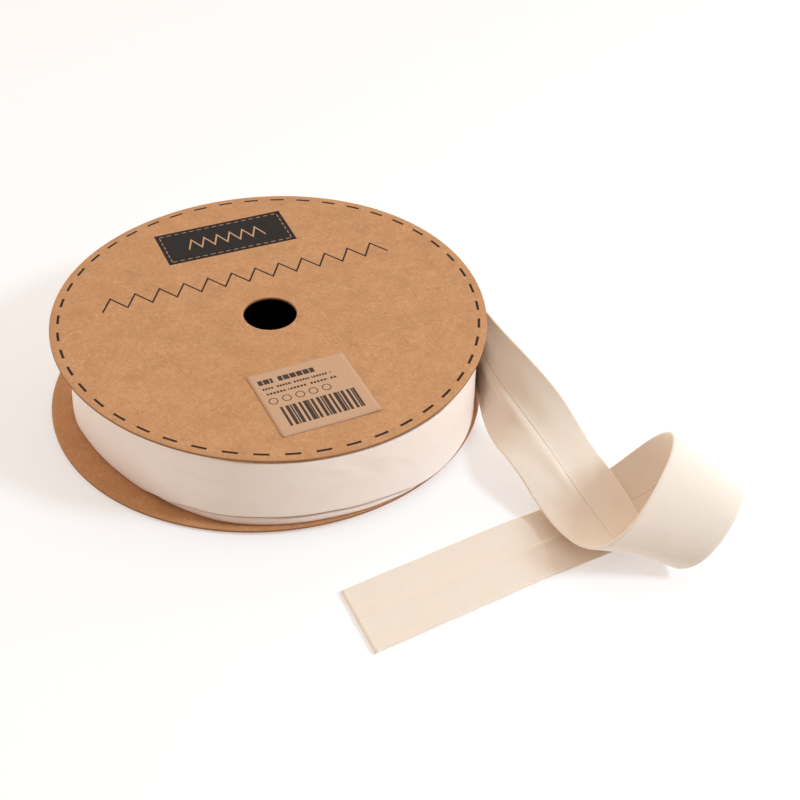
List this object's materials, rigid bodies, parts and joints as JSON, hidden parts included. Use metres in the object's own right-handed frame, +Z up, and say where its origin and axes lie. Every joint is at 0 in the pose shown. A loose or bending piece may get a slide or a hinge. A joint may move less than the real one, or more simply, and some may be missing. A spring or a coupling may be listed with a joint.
{
  "type": "roll of bias binding on a card reel",
  "caption": "Wound roll of folded fabric tape held between round card flanges, with a loose end that curls over and lies flat.",
  "frame": {"origin": "on the table, under the middle of the part's box", "axes": "+Z up along the reel's axis, +X towards the side where the loose end comes away and loops, +Y away from the cut end"},
  "size_m": [0.2088, 0.184, 0.0323],
  "materials": {
    "kraft_board": "brown kraft card, matt, with fine fibre flecks and dark print",
    "polycotton": "cream plain-weave polycotton cut on the bias, matt",
    "label_paper": "thin buff paper, faint sheen"
  },
  "bodies": {
    "root": {"top_flange": "kraft_board", "bottom_flange": "kraft_board", "winding": "polycotton", "tail": "polycotton", "sticker": "label_paper"}
  },
  "joints": []
}
